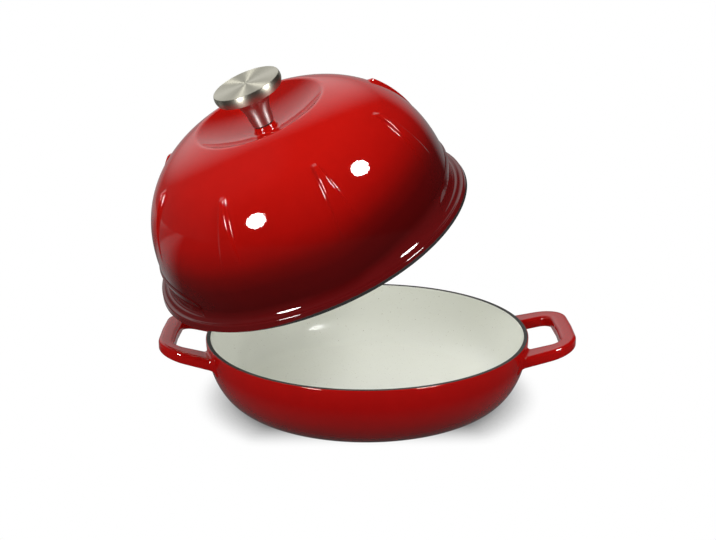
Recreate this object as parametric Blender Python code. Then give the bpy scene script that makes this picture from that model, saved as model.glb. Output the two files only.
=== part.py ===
"""Cast iron bread oven: a shallow pan with two loop handles, and a domed lid with a steel knob.

Lengths are in metres. The origin is the centre of the pan's flat underside, +Z is up, and +X points to one
handle. The lid is modelled closed, in its own frame with its origin at the centre of the flange's underside, and
hangs from an empty on the swing line, which turns it to the raised place.
"""
from math import acos, asin, atan2, cos, degrees, hypot, pi, radians, sin, sqrt, tan

import bmesh
import bpy
from mathutils import Quaternion, Vector

# Fits between pieces
GAP = 0.0003
WELD = 0.000001

# Pan
RIM_RADIUS = 0.1310
PAN_HEIGHT = 0.0522
BASE_RADIUS = 0.1000
PAN_WALL = 0.0040
PAN_FLOOR = 0.0050
RIM_EDGE = 0.0008
PAN_COLUMNS = 72
PAN_WALL_STEPS = 11

# Loop handles, both alike. The root lies inside the pan's wall, as in the casting.
HANDLE_REACH = 0.0363
HANDLE_HALF_WIDTH = 0.0464
HANDLE_ROOT_HALF_WIDTH = 0.0535
HANDLE_ROOT_DEPTH = 0.0210
HANDLE_BAR = 0.01245
HANDLE_ARM = 0.0140
HANDLE_ROOT_ARM = 0.0200
HANDLE_BOW = 0.0011
HANDLE_BOW_RADIUS = 0.0600
HANDLE_CORNER = 0.0274
FINGER_CORNER = 0.0095
HANDLE_THICKNESS = 0.0093
HANDLE_DROP = 0.0036
HANDLE_RISE = 0.225
HANDLE_TOP_EDGE = 0.0030
HANDLE_BOTTOM_EDGE = 0.0020
HANDLE_EDGE_STEPS = 2
HANDLE_CORNER_STEPS = 6
HANDLE_BOW_STEPS = 2

# Lid: flange and locating lip
FLANGE_WIDTH = 0.0088
FLANGE_EDGE = 0.0056
FLANGE_ROUND = 0.0015
FLANGE_DRAFT = 0.0010
COVE_TOP = 0.0165
COVE_STEPS = 5
SPRING_HEIGHT = 0.0088
LIP_HEIGHT = 0.0030
LIP_CLEARANCE = 0.0015
LIP_TAPER = 0.0015
LIP_WIDTH = 0.0045

# Lid: dome, a superellipse in section
LID_WALL = 0.0040
DOME_APEX = 0.1180
DOME_FLAT_POWER = 2.36
DOME_SIDE_POWER = 2.46

# Lid: crown, a rounded ridge round a dish with a boss in its middle
CROWN_RADIUS = 0.0546
RIDGE_ROUND = 0.0045
DISH_SLOPE = radians(32.5)
BOSS_RADIUS = 0.0084
BOSS_HEIGHT = 0.0055
BOSS_DRAFT = 0.0006
BOSS_FILLET = 0.0018
BOSS_EDGE = 0.0004
PAD_RADIUS = 0.0095
PAD_HEIGHT = 0.0009

# Lid: raised marks on the shoulder
MARKS = 8
MARK_PHASE = radians(14.1)
MARK_TOP = 0.0892
MARK_END = 0.0430
MARK_LEAD = 0.0020
MARK_RAISE = 0.0027
MARK_TIP_ANGLE = radians(2.0)
MARK_FOOT_ANGLE = radians(8.3)
MARK_STEP_ANGLE = radians(1.1)
PLAIN_STEPS = 3

# Knob
KNOB_RADIUS = 0.0272
KNOB_HEIGHT = 0.0341
KNOB_DISC = 0.0083
KNOB_BULGE = 0.0016
KNOB_WIDEST = 0.3
KNOB_WALL = 0.0015
KNOB_EDGE = 0.0005
KNOB_PLATE = 0.0020
STEM_BASE_RADIUS = 0.0087
STEM_NECK_RADIUS = 0.0095
STEM_NECK_HEIGHT = 0.0057
STEM_FLARE_RADIUS = 0.0246
KNOB_COLUMNS = 48
FLARE_STEPS = 8
SIDE_STEPS = 4

# Fasteners
SCREW_RADIUS = 0.0030
SCREW_REACH = 0.0110
SCREW_CHAMFER = 0.0006
HEAD_RADIUS = 0.0058
HEAD_HEIGHT = 0.0034
RECESS_LENGTH = 0.0056
RECESS_WIDTH = 0.0012
RECESS_DEPTH = 0.0018
HOLE_CLEARANCE = 0.0004
INSERT_WALL = 0.0016
INSERT_LENGTH = 0.0130
KNOB_WASHER_THICKNESS = 0.0006
KNOB_WASHER_INSET = 0.0004
FLAT_WASHER_RADIUS = 0.0078
FLAT_WASHER_THICKNESS = 0.0012
LOCK_WASHER_WIDTH = 0.0022
LOCK_WASHER_THICKNESS = 0.0014
LOCK_WASHER_SPLIT = 0.0008
FASTENER_COLUMNS = 32

# The raised lid: it turns about a slanting line outside the rim, as a hand lifts and tilts it
SWING_AXIS = Vector((0.4520, -0.8256, 0.3377))
SWING_BEARING = radians(211.52)
SWING_OUTSIDE_RIM = 0.0735
SWING_BELOW_RIM = 0.0279
LID_OPEN = radians(25.92)

# Colours of the materials
ENAMEL_RED = (0.42, 0.012, 0.010)
STEEL_GREY = (0.58, 0.57, 0.55)
SCREW_GREY = (0.50, 0.50, 0.50)
SEAL_BLACK = (0.03, 0.03, 0.03)

SHARP_ANGLE = radians(35)
CUT_MARGIN = 0.0100


def clear_scene():
    for old in list(bpy.data.objects):
        bpy.data.objects.remove(old, do_unlink=True)


def finish(name, colour, roughness, metallic):
    """A Principled material."""
    made = bpy.data.materials.new(name)
    made.use_nodes = True
    shader = made.node_tree.nodes["Principled BSDF"]
    shader.inputs["Base Color"].default_value = (*colour, 1.0)
    shader.inputs["Roughness"].default_value = roughness
    shader.inputs["Metallic"].default_value = metallic
    return made


def place_mesh(name, form, coat):
    """Turns an edit mesh into an object, shaded smooth but for its sharp edges."""
    mesh = bpy.data.meshes.new(name)
    form.to_mesh(mesh)
    form.free()
    mesh.shade_smooth()
    mesh.set_sharp_from_angle(angle=SHARP_ANGLE)
    piece = bpy.data.objects.new(name, mesh)
    bpy.context.scene.collection.objects.link(piece)
    if coat:
        mesh.materials.append(coat)
    return piece


def turned(name, profile, columns, coat=None, closed=False):
    """A solid of revolution. The profile holds (radius, height) points and keeps the material on its left; it
    starts and ends on the axis, or is closed on itself."""
    form = bmesh.new()
    corners = [form.verts.new((radius, 0, height)) for radius, height in profile]
    pairs = list(zip(corners, corners[1:]))
    if closed:
        pairs.append((corners[-1], corners[0]))
    edges = [form.edges.new(pair) for pair in pairs]
    bmesh.ops.spin(form, geom=corners + edges, axis=(0, 0, 1), cent=(0, 0, 0), angle=2 * pi,
                   steps=columns, use_duplicate=False)
    bmesh.ops.remove_doubles(form, verts=form.verts, dist=WELD)
    bmesh.ops.recalc_face_normals(form, faces=form.faces)
    return place_mesh(name, form, coat)


def ring_skin(name, rings, coat=None, capped=False):
    """A skin through rings of points that all have the same count. It closes on its first ring, or is capped."""
    form = bmesh.new()
    rows = [[form.verts.new(point) for point in ring] for ring in rings]
    following = rows[1:] if capped else rows[1:] + rows[:1]
    for row, after in zip(rows, following):
        for here in range(len(row)):
            there = (here + 1) % len(row)
            form.faces.new((row[here], row[there], after[there], after[here]))
    if capped:
        form.faces.new(rows[0])
        form.faces.new(rows[-1])
    bmesh.ops.recalc_face_normals(form, faces=form.faces)
    return place_mesh(name, form, coat)


def block(name, size, centre):
    """A box, for a cutter."""
    form = bmesh.new()
    bmesh.ops.create_cube(form, size=1)
    bmesh.ops.scale(form, vec=size, verts=form.verts)
    bmesh.ops.translate(form, vec=centre, verts=form.verts)
    return place_mesh(name, form, None)


def combine(piece, tool, operation):
    """Joins a guide to a piece, or cuts it from the piece; the guide itself is left out of the model."""
    tool.hide_render = True
    tool.display_type = "WIRE"
    step = piece.modifiers.new(tool.name, "BOOLEAN")
    step.operation = operation
    step.solver = "EXACT"
    step.object = tool


def arc(centre, radius, start, end, steps):
    """Points of an arc in a (radius, height) profile, both ends included."""
    turns = [start + (end - start) * step / steps for step in range(steps + 1)]
    return [(centre[0] + radius * cos(turn), centre[1] + radius * sin(turn)) for turn in turns]


# Pan


def bowl_wall(foot_radius, floor, rim_radius):
    """A wall that leaves the floor level and meets the rim upright: a quarter of an ellipse."""
    points = []
    for step in range(PAN_WALL_STEPS + 1):
        turn = pi / 2 * step / PAN_WALL_STEPS
        radius = foot_radius + (rim_radius - foot_radius) * sin(turn)
        points.append((radius, PAN_HEIGHT - (PAN_HEIGHT - floor) * cos(turn)))
    return points


def pan_outside():
    """The pan without its hollow: flat underside, curved wall, flat rim with a small rounded edge."""
    wall = bowl_wall(BASE_RADIUS, 0, RIM_RADIUS)[:-1]
    rim = arc((RIM_RADIUS - RIM_EDGE, PAN_HEIGHT - RIM_EDGE), RIM_EDGE, 0, pi / 2, 2)
    return [(0, 0)] + wall + rim + [(0, PAN_HEIGHT)]


def cavity_radius():
    """Inside of the pan's wall at the rim."""
    return RIM_RADIUS - PAN_WALL


def pan_hollow():
    """The pan's inside, with the rim's inner edge rounded, carried on above the rim as a cutter."""
    inside = cavity_radius()
    wall = bowl_wall(BASE_RADIUS - PAN_WALL, PAN_FLOOR, inside)[:-1]
    edge = arc((inside + RIM_EDGE, PAN_HEIGHT - RIM_EDGE), RIM_EDGE, pi, pi / 2, 2)
    above = PAN_HEIGHT + CUT_MARGIN
    return [(0, PAN_FLOOR)] + wall + edge + [(inside + RIM_EDGE, above), (0, above)]


def rounded_path(corners, bends):
    """A flat path with its inner corners rounded. A bend is (radius, steps)."""
    points = [corners[0]]
    for before, corner, after, (radius, steps) in zip(corners, corners[1:], corners[2:], bends):
        into = (corner - before).normalized()
        away = (after - corner).normalized()
        turn = atan2(into.x * away.y - into.y * away.x, into.dot(away))
        start = corner - into * radius * tan(abs(turn) / 2)
        side = 1 if turn > 0 else -1
        centre = start + Vector((-into.y, into.x)) * radius * side
        spoke = start - centre
        for step in range(steps + 1):
            part = turn * step / steps
            points.append(centre + Vector((spoke.x * cos(part) - spoke.y * sin(part),
                                           spoke.x * sin(part) + spoke.y * cos(part))))
    points.append(corners[-1])
    return points


def handle_outline(reach, half_width, root_half_width, corner):
    """One edge of the handle in plan, from root to root: a trapezoid with a slightly bowed bar."""
    root = RIM_RADIUS - HANDLE_ROOT_DEPTH
    corners = [Vector((root, -root_half_width)), Vector((reach - HANDLE_BOW, -half_width)), Vector((reach, 0)),
               Vector((reach - HANDLE_BOW, half_width)), Vector((root, root_half_width))]
    turn = (corner, HANDLE_CORNER_STEPS)
    return rounded_path(corners, [turn, (HANDLE_BOW_RADIUS, HANDLE_BOW_STEPS), turn])


def handle_top(x):
    """The handle rises as it leaves the pan."""
    return PAN_HEIGHT - HANDLE_DROP + HANDLE_RISE * (x - RIM_RADIUS)


def bar_section(outer, inner):
    """The handle's section between a point of its outer edge and the same point of its inner edge."""
    points = []
    across = (inner - outer).normalized()
    quarter = [pi / 2 * step / HANDLE_EDGE_STEPS for step in range(HANDLE_EDGE_STEPS + 1)]
    corners = ((outer, across, HANDLE_BOTTOM_EDGE, False), (outer, across, HANDLE_TOP_EDGE, True),
               (inner, -across, HANDLE_TOP_EDGE, True), (inner, -across, HANDLE_BOTTOM_EDGE, False))
    for index, (edge, inward, radius, top) in enumerate(corners):
        for turn in quarter if index % 2 else reversed(quarter):
            spot = edge + inward * radius * (1 - cos(turn))
            drop = radius * (1 - sin(turn))
            height = handle_top(spot.x)
            height += -drop if top else drop - HANDLE_THICKNESS
            points.append((spot.x, spot.y, height))
    return points


def loop_handle(side):
    """The handle on the +X side, or turned half round for the other side."""
    reach = RIM_RADIUS + HANDLE_REACH
    outer = handle_outline(reach, HANDLE_HALF_WIDTH, HANDLE_ROOT_HALF_WIDTH, HANDLE_CORNER)
    inner = handle_outline(reach - HANDLE_BAR, HANDLE_HALF_WIDTH - HANDLE_ARM,
                           HANDLE_ROOT_HALF_WIDTH - HANDLE_ROOT_ARM, FINGER_CORNER)
    rings = [[(side * x, side * y, z) for x, y, z in bar_section(*pair)] for pair in zip(outer, inner)]
    return ring_skin(f"handle_guide_{'right' if side > 0 else 'left'}", rings, capped=True)


def base_pan(coat):
    """The pan's casting: bowl and handles in one."""
    pan = turned("base_pan", pan_outside(), PAN_COLUMNS, coat)
    for side in (1, -1):
        combine(pan, loop_handle(side), "UNION")
    combine(pan, turned("hollow_guide", pan_hollow(), PAN_COLUMNS), "DIFFERENCE")
    return pan


# Lid


def dome_base():
    """Outer radius of the dome where it springs from the flange."""
    return RIM_RADIUS - FLANGE_WIDTH


def dome_point(turn, inset=0.0):
    """A point of the dome's section. turn is 0 at the springing and a quarter turn at the apex."""
    radius = (dome_base() - inset) * cos(turn) ** (2 / DOME_FLAT_POWER)
    rise = (DOME_APEX - inset - SPRING_HEIGHT) * sin(turn) ** (2 / DOME_SIDE_POWER)
    return radius, SPRING_HEIGHT + rise


def dome_normal(turn):
    """The dome's outward direction at that point."""
    radius = cos(turn) ** (2 / DOME_FLAT_POWER)
    rise = sin(turn) ** (2 / DOME_SIDE_POWER)
    out = DOME_FLAT_POWER * radius ** (DOME_FLAT_POWER - 1) / dome_base()
    up = DOME_SIDE_POWER * rise ** (DOME_SIDE_POWER - 1) / (DOME_APEX - SPRING_HEIGHT)
    length = hypot(out, up)
    return out / length, up / length


def turn_at_height(height):
    share = (height - SPRING_HEIGHT) / (DOME_APEX - SPRING_HEIGHT)
    return asin(share ** (DOME_SIDE_POWER / 2))


def turn_at_radius(radius, inset=0.0):
    return acos((radius / (dome_base() - inset)) ** (DOME_FLAT_POWER / 2))


def spread(start, end, steps):
    """Even steps that leave the last one out."""
    return [start + (end - start) * step / steps for step in range(steps)]


def dome_turns():
    """Where the dome's rings lie: closer together along the marks."""
    mark_top = turn_at_height(MARK_TOP)
    mark_foot = turn_at_height(MARK_END)
    lead = turn_at_height(MARK_TOP + MARK_LEAD)
    crown = turn_at_radius(CROWN_RADIUS)
    return (spread(turn_at_height(COVE_TOP), mark_foot, 3) + spread(mark_foot, mark_top, 5) + [mark_top]
            + spread(lead, crown, 3) + [crown])


def mark_raise(height):
    """How far a mark stands out of the dome: most at its top, fading to nothing at its foot."""
    if height > MARK_TOP + WELD or height < MARK_END:
        return 0
    return MARK_RAISE * (height - MARK_END) / (MARK_TOP - MARK_END)


def mark_offsets(height):
    """Azimuths round one mark, from its middle, each with whether it lies on the raised face."""
    share = min(max((MARK_TOP - height) / (MARK_TOP - MARK_END), 0), 1)
    half = (MARK_TIP_ANGLE + (MARK_FOOT_ANGLE - MARK_TIP_ANGLE) * share) / 2
    foot = half + MARK_STEP_ANGLE
    widest = MARK_FOOT_ANGLE / 2 + MARK_STEP_ANGLE
    plain = [widest + (pi / MARKS - widest) * step / PLAIN_STEPS for step in range(1, PLAIN_STEPS)]
    right = [(half, True), (foot, False)] + [(angle, False) for angle in plain]
    left = [(-angle, raised) for angle, raised in reversed(right)]
    return [(-pi / MARKS, False)] + left + right


def lid_ring(radius, height, normal=(0, 0)):
    """A ring of the lid, pushed out along the normal where it crosses a mark."""
    lift = mark_raise(height) if normal != (0, 0) else 0
    points = []
    for mark in range(MARKS):
        for offset, raised in mark_offsets(height):
            azimuth = MARK_PHASE + 2 * pi * mark / MARKS + offset
            out = radius + (normal[0] * lift if raised else 0)
            points.append((out * cos(azimuth), out * sin(azimuth), height + (normal[1] * lift if raised else 0)))
    return points


def ridge_centre():
    """Centre of the ridge's rounding, which follows on from the dome."""
    turn = turn_at_radius(CROWN_RADIUS)
    radius, height = dome_point(turn)
    out, up = dome_normal(turn)
    return radius - RIDGE_ROUND * out, height - RIDGE_ROUND * up


def dish_arc():
    """Centre height and radius of the dish, an arc that meets the ridge's rounding."""
    centre = ridge_centre()
    edge = centre[0] - RIDGE_ROUND * sin(DISH_SLOPE)
    radius = edge / sin(DISH_SLOPE)
    height = centre[1] + RIDGE_ROUND * cos(DISH_SLOPE) + radius * cos(DISH_SLOPE)
    return height, radius


def dish_height(radius, inset=0.0):
    """Height of the dish, or of its underside at an inset."""
    centre, curve = dish_arc()
    return centre - sqrt((curve + inset) ** 2 - radius ** 2)


def boss_top():
    return dish_height(0) + BOSS_HEIGHT


def pad_bottom():
    """The flat under the crown that the fasteners draw up against."""
    return dish_height(0, LID_WALL) - PAD_HEIGHT


def hole_radius():
    """The lid's hole for the screw."""
    return SCREW_RADIUS + HOLE_CLEARANCE


def lid_inside():
    """The lid's inner skin, from the hole out and down to the locating lip."""
    pad = pad_bottom()
    rings = [(hole_radius(), pad), (PAD_RADIUS, pad), (PAD_RADIUS + PAD_HEIGHT, dish_height(PAD_RADIUS, LID_WALL))]
    dish_edge = (dish_arc()[1] + LID_WALL) * sin(DISH_SLOPE)
    rings += [(radius, dish_height(radius, LID_WALL)) for radius in spread(dish_edge * 0.45, dish_edge, 3)]
    crown = turn_at_radius(dish_edge, LID_WALL)
    rings += [dome_point(turn, LID_WALL) for turn in spread(crown, 0, 8)]
    return rings + [dome_point(0, LID_WALL)]


def lid_lip():
    """The lip that drops inside the pan's rim and keeps the lid central."""
    outside = cavity_radius() - LIP_CLEARANCE
    return [(outside - LIP_WIDTH - LIP_TAPER, -LIP_HEIGHT), (outside - LIP_TAPER, -LIP_HEIGHT), (outside, 0)]


def lid_flange():
    """The flange: flat underside, a side with a little draft, a rounded upper edge, and a tall cove into the
    dome, a quarter of an ellipse."""
    edge = RIM_RADIUS - RIM_EDGE
    shoulder = (RIM_RADIUS - FLANGE_DRAFT - FLANGE_ROUND, FLANGE_EDGE - FLANGE_ROUND)
    foot = dome_point(turn_at_height(COVE_TOP))[0]
    width = shoulder[0] - foot
    cove = []
    for step in range(1, COVE_STEPS):
        turn = pi / 2 * step / COVE_STEPS
        cove.append((shoulder[0] - width * sin(turn), COVE_TOP - (COVE_TOP - FLANGE_EDGE) * cos(turn)))
    return [(edge, 0), (RIM_RADIUS, RIM_EDGE)] + arc(shoulder, FLANGE_ROUND, 0, pi / 2, 3) + cove


def lid_crown():
    """The ridge, the dish inside it and the boss in the middle, down to the edge of the hole."""
    tilt = acos(dome_normal(turn_at_radius(CROWN_RADIUS))[1])
    ridge = arc(ridge_centre(), RIDGE_ROUND, pi / 2 - tilt, pi / 2 + DISH_SLOPE, 5)[1:]
    foot = BOSS_RADIUS + BOSS_DRAFT
    dish_end = foot + BOSS_FILLET
    dish = [(radius, dish_height(radius)) for radius in spread(ridge[-1][0], dish_end, 4)[1:]]
    fillet = arc((dish_end, dish_height(dish_end) + BOSS_FILLET), BOSS_FILLET, -pi / 2, -pi, 2)
    top = [(BOSS_RADIUS, boss_top() - BOSS_EDGE), (BOSS_RADIUS - BOSS_EDGE, boss_top()), (hole_radius(), boss_top())]
    return ridge + dish + fillet + top


def lid_dome(coat):
    """The lid's casting."""
    skin = [lid_ring(*point) for point in lid_inside() + lid_lip() + lid_flange()]
    skin += [lid_ring(*dome_point(turn), dome_normal(turn)) for turn in dome_turns()]
    skin += [lid_ring(*point) for point in lid_crown()]
    return ring_skin("lid_dome", skin, coat)


# Knob


def knob_base():
    """Height of the stem's foot, on the washer that lies on the boss."""
    return boss_top() + GAP + KNOB_WASHER_THICKNESS + GAP


def disc_bottom():
    """Height of the disc's lower edge."""
    return knob_base() + KNOB_HEIGHT - KNOB_DISC


def disc_inside():
    """Inner radius of the disc's shell."""
    return KNOB_RADIUS - KNOB_BULGE - KNOB_WALL


def bore_radius():
    """The stem's bore, which holds the insert."""
    return insert_radius() + GAP


def insert_radius():
    return SCREW_RADIUS + GAP + INSERT_WALL


def side_radius(share):
    """Radius of the disc's bulged side, from -1 at its foot to 1 at its top."""
    return KNOB_RADIUS - KNOB_BULGE * ((share - KNOB_WIDEST) / (1 + KNOB_WIDEST)) ** 2


def knob_cap(coat):
    """The disc: a shell, open below, with a gently bulged side."""
    bottom = disc_bottom()
    top = knob_base() + KNOB_HEIGHT
    ceiling = top - KNOB_WALL
    side = []
    for step in range(SIDE_STEPS + 1):
        share = 2 * step / SIDE_STEPS - 1
        side.append((side_radius(share), bottom + (KNOB_DISC - KNOB_EDGE) * (share + 1) / 2))
    rim = side_radius(1) - KNOB_EDGE
    profile = [(0, ceiling), (disc_inside(), ceiling), (disc_inside(), bottom)] + side + [(rim, top), (0, top)]
    return turned("knob_cap", profile, KNOB_COLUMNS, coat)


def knob_stem(coat):
    """The stem: a tapered neck that flares like a trumpet into the plate under the disc."""
    base = knob_base()
    neck = base + STEM_NECK_HEIGHT
    flare_top = disc_bottom() - GAP
    flare = []
    for step in range(FLARE_STEPS + 1):
        turn = pi / 2 * step / FLARE_STEPS
        radius = STEM_FLARE_RADIUS - (STEM_FLARE_RADIUS - STEM_NECK_RADIUS) * cos(turn)
        flare.append((radius, neck + (flare_top - neck) * sin(turn)))
    plate = disc_inside() - GAP
    bore_end = base + INSERT_LENGTH + 2 * GAP
    profile = [(0, bore_end), (bore_radius(), bore_end), (bore_radius(), base), (STEM_BASE_RADIUS, base)]
    profile += flare + [(plate, flare_top), (plate, flare_top + KNOB_PLATE), (0, flare_top + KNOB_PLATE)]
    return turned("knob_stem", profile, KNOB_COLUMNS, coat)


def ring(name, inner, outer, bottom, top, coat):
    """A flat ring, for washers and the insert."""
    profile = [(inner, bottom), (outer, bottom), (outer, top), (inner, top)]
    return turned(name, profile, FASTENER_COLUMNS, coat, closed=True)


def knob_insert(coat):
    """The threaded barrel in the stem, plain here."""
    bottom = knob_base() + GAP
    return ring("knob_insert", SCREW_RADIUS + GAP, insert_radius(), bottom, bottom + INSERT_LENGTH, coat)


def knob_washer(coat):
    bottom = boss_top() + GAP
    return ring("knob_washer", hole_radius(), BOSS_RADIUS - KNOB_WASHER_INSET, bottom,
                bottom + KNOB_WASHER_THICKNESS, coat)


# Fasteners


def flat_washer(coat):
    top = pad_bottom() - GAP
    return ring("flat_washer", hole_radius(), FLAT_WASHER_RADIUS, top - FLAT_WASHER_THICKNESS, top, coat)


def lock_washer_top():
    return pad_bottom() - 2 * GAP - FLAT_WASHER_THICKNESS


def lock_washer(coat):
    """The split spring washer."""
    top = lock_washer_top()
    outer = hole_radius() + LOCK_WASHER_WIDTH
    washer = ring("lock_washer", hole_radius(), outer, top - LOCK_WASHER_THICKNESS, top, coat)
    size = (2 * LOCK_WASHER_WIDTH, LOCK_WASHER_SPLIT, 2 * LOCK_WASHER_THICKNESS)
    centre = (hole_radius() + LOCK_WASHER_WIDTH / 2, 0, top - LOCK_WASHER_THICKNESS / 2)
    combine(washer, block("split_guide", size, centre), "DIFFERENCE")
    return washer


def knob_screw(coat):
    """The screw: a pan head with a cross recess, and a shank up into the insert."""
    seat = lock_washer_top() - LOCK_WASHER_THICKNESS - GAP
    bottom = seat - HEAD_HEIGHT
    end = knob_base() + SCREW_REACH
    head = arc((HEAD_RADIUS - HEAD_HEIGHT / 2, seat - HEAD_HEIGHT / 2), HEAD_HEIGHT / 2, -pi / 2, 0, 3)
    profile = [(0, bottom)] + head + [(HEAD_RADIUS, seat), (SCREW_RADIUS, seat), (SCREW_RADIUS, end - SCREW_CHAMFER),
                                      (SCREW_RADIUS - SCREW_CHAMFER, end), (0, end)]
    screw = turned("knob_screw", profile, FASTENER_COLUMNS, coat)
    for name, size in (("recess_guide_x", (RECESS_LENGTH, RECESS_WIDTH)), ("recess_guide_y", (RECESS_WIDTH, RECESS_LENGTH))):
        cutter = block(name, (*size, 2 * RECESS_DEPTH), (0, 0, bottom))
        combine(screw, cutter, "DIFFERENCE")
    return screw


# Assembly


def hang_lid(pieces):
    """Puts the lid's pieces on the swing line: closed they stand on the rim, and the turn raises them."""
    reach = RIM_RADIUS + SWING_OUTSIDE_RIM
    pivot = Vector((reach * cos(SWING_BEARING), reach * sin(SWING_BEARING), PAN_HEIGHT - SWING_BELOW_RIM))
    swing = bpy.data.objects.new("lid_swing", None)
    bpy.context.scene.collection.objects.link(swing)
    swing.location = pivot
    swing.rotation_mode = "QUATERNION"
    swing.rotation_quaternion = Quaternion(SWING_AXIS.normalized(), LID_OPEN)
    seat = Vector((0, 0, PAN_HEIGHT + GAP))
    for piece in pieces:
        for item in (piece, *(step.object for step in piece.modifiers)):
            item.parent = swing
            item.location = seat - pivot
    print(f"swing line through {tuple(round(v, 5) for v in pivot)}, {degrees(LID_OPEN):.2f} degrees open")


def main():
    clear_scene()
    enamel = finish("red_enamel", ENAMEL_RED, 0.12, 0.0)
    steel = finish("brushed_steel", STEEL_GREY, 0.30, 1.0)
    plain_steel = finish("plain_steel", SCREW_GREY, 0.35, 1.0)
    seal = finish("black_fibre", SEAL_BLACK, 0.70, 0.0)
    base_pan(enamel)
    hang_lid([
        lid_dome(enamel), knob_cap(steel), knob_stem(steel), knob_insert(plain_steel), knob_washer(seal),
        flat_washer(plain_steel), lock_washer(plain_steel), knob_screw(plain_steel),
    ])


main()
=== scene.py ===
"""Looks of the cast iron bread oven: finer castings and knob, their materials, the studio and the camera.

Lengths are in metres. They repeat those of the part, but the grips and the handles' fillets are only here,
the marks end more softly and the knob's top edge is rounder. The lid and the knob are built in the lid's own
frame, with the origin at the centre of the flange's underside, and then turned about the swing line.
"""
from math import acos, asin, atan2, cos, hypot, pi, radians, sin, sqrt, tan

import bmesh
import bpy
from mathutils import Matrix, Vector

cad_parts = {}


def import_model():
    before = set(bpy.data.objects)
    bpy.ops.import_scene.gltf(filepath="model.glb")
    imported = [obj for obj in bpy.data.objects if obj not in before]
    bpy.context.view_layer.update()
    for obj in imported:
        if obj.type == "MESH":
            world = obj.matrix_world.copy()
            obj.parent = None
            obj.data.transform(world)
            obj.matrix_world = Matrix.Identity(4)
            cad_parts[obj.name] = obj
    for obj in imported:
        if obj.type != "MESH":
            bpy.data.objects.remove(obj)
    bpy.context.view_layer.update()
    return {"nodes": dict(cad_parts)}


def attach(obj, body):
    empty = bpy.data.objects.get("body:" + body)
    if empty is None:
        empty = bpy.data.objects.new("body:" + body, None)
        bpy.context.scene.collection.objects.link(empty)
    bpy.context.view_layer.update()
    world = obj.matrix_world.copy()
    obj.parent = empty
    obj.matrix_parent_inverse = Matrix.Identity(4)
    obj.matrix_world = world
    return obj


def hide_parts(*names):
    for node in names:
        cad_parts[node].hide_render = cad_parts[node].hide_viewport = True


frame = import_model()

GAP = 0.0003
SHARP_ANGLE = radians(38)
AXIS_RADIUS = 0.0002

# Pan
RIM_RADIUS = 0.1310
PAN_HEIGHT = 0.0522
BASE_RADIUS = 0.1000
PAN_WALL = 0.0040
PAN_FLOOR = 0.0050
PAN_MIDDLE = 0.0040
RIM_EDGE = 0.0008
BASE_EDGE = 0.0010
BASE_RINGS = (0.0001, 0.0005, 0.0010, 0.0016)
BASE_COAT = 0.0022
FLOOR_LEAD = 0.0020
JUST_ABOVE = 0.00001
PAN_COLUMNS = 288
WALL_STEPS = 40
BASE_STEPS = 6
FLOOR_STEPS = 10
RIM_STEPS = 6

# Loop handles
HANDLE_REACH = 0.0363
HANDLE_HALF_WIDTH = 0.0464
HANDLE_ROOT_HALF_WIDTH = 0.0535
HANDLE_ROOT_DEPTH = 0.0030
HANDLE_ROOT_LEAD = 0.0210
HANDLE_BAR = 0.01245
HANDLE_ARM = 0.0140
HANDLE_ROOT_ARM = 0.0200
HANDLE_BOW = 0.0011
HANDLE_BOW_RADIUS = 0.0600
HANDLE_CORNER = 0.0274
FINGER_CORNER = 0.0095
HANDLE_THICKNESS = 0.0093
HANDLE_DROP = 0.0036
HANDLE_RISE = 0.225
HANDLE_TOP_EDGE = 0.0030
HANDLE_BOTTOM_EDGE = 0.0020
HANDLE_FILLET = 0.0034
EDGE_STEPS = 6
FACE_STEPS = 3
CORNER_STEPS = 16
BOW_STEPS = 6
ARM_STEPS = 22

# Lid
FLANGE_WIDTH = 0.0088
FLANGE_EDGE = 0.0056
FLANGE_ROUND = 0.0015
FLANGE_DRAFT = 0.0010
COVE_TOP = 0.0165
SPRING_HEIGHT = 0.0088
LIP_HEIGHT = 0.0030
LIP_CLEARANCE = 0.0015
LIP_TAPER = 0.0015
LIP_WIDTH = 0.0045
LIP_EDGE = 0.0005
LID_WALL = 0.0040
DOME_APEX = 0.1180
DOME_FLAT_POWER = 2.36
DOME_SIDE_POWER = 2.46
CROWN_RADIUS = 0.0546
RIDGE_ROUND = 0.0045
DISH_SLOPE = radians(32.5)
BOSS_RADIUS = 0.0084
BOSS_HEIGHT = 0.0055
BOSS_DRAFT = 0.0006
BOSS_FILLET = 0.0018
BOSS_EDGE = 0.0004
PAD_RADIUS = 0.0095
PAD_HEIGHT = 0.0009
HOLE_RADIUS = 0.0034
HOLE_EDGE = 0.0010
PAD_STEPS = 3
INSIDE_DISH_STEPS = 12
INSIDE_DOME_STEPS = 36
FLANGE_STEPS = 7
COVE_STEPS = 8
DOME_STEPS = 6
MARK_STEPS = 26
MARK_TIP_STEPS = 12
SHOULDER_STEPS = 14
RIDGE_STEPS = 14
DISH_STEPS = 18
BOSS_FILLET_STEPS = 6
BOSS_EDGE_STEPS = 4

# Grips: a shallow face over each handle, from a ledge in the cove up to a crease in the dome
GRIP_HALF_ANGLE = radians(38.0)
GRIP_POWER = 3
GRIP_LEDGE = 0.0076
GRIP_LEAST = 0.0006
GRIP_TOP = 0.0245
GRIP_DEPTH = 0.0004
GRIP_PROUD = 0.0012
GRIP_CORNER = 0.0022
GRIP_STEP = 0.0003
GRIP_CREASE = 0.0004
GRIP_BLEND = 0.0340
GRIP_CORNER_STEPS = 6
GRIP_FACE_STEPS = 9
GRIP_BLEND_STEPS = 12

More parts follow.
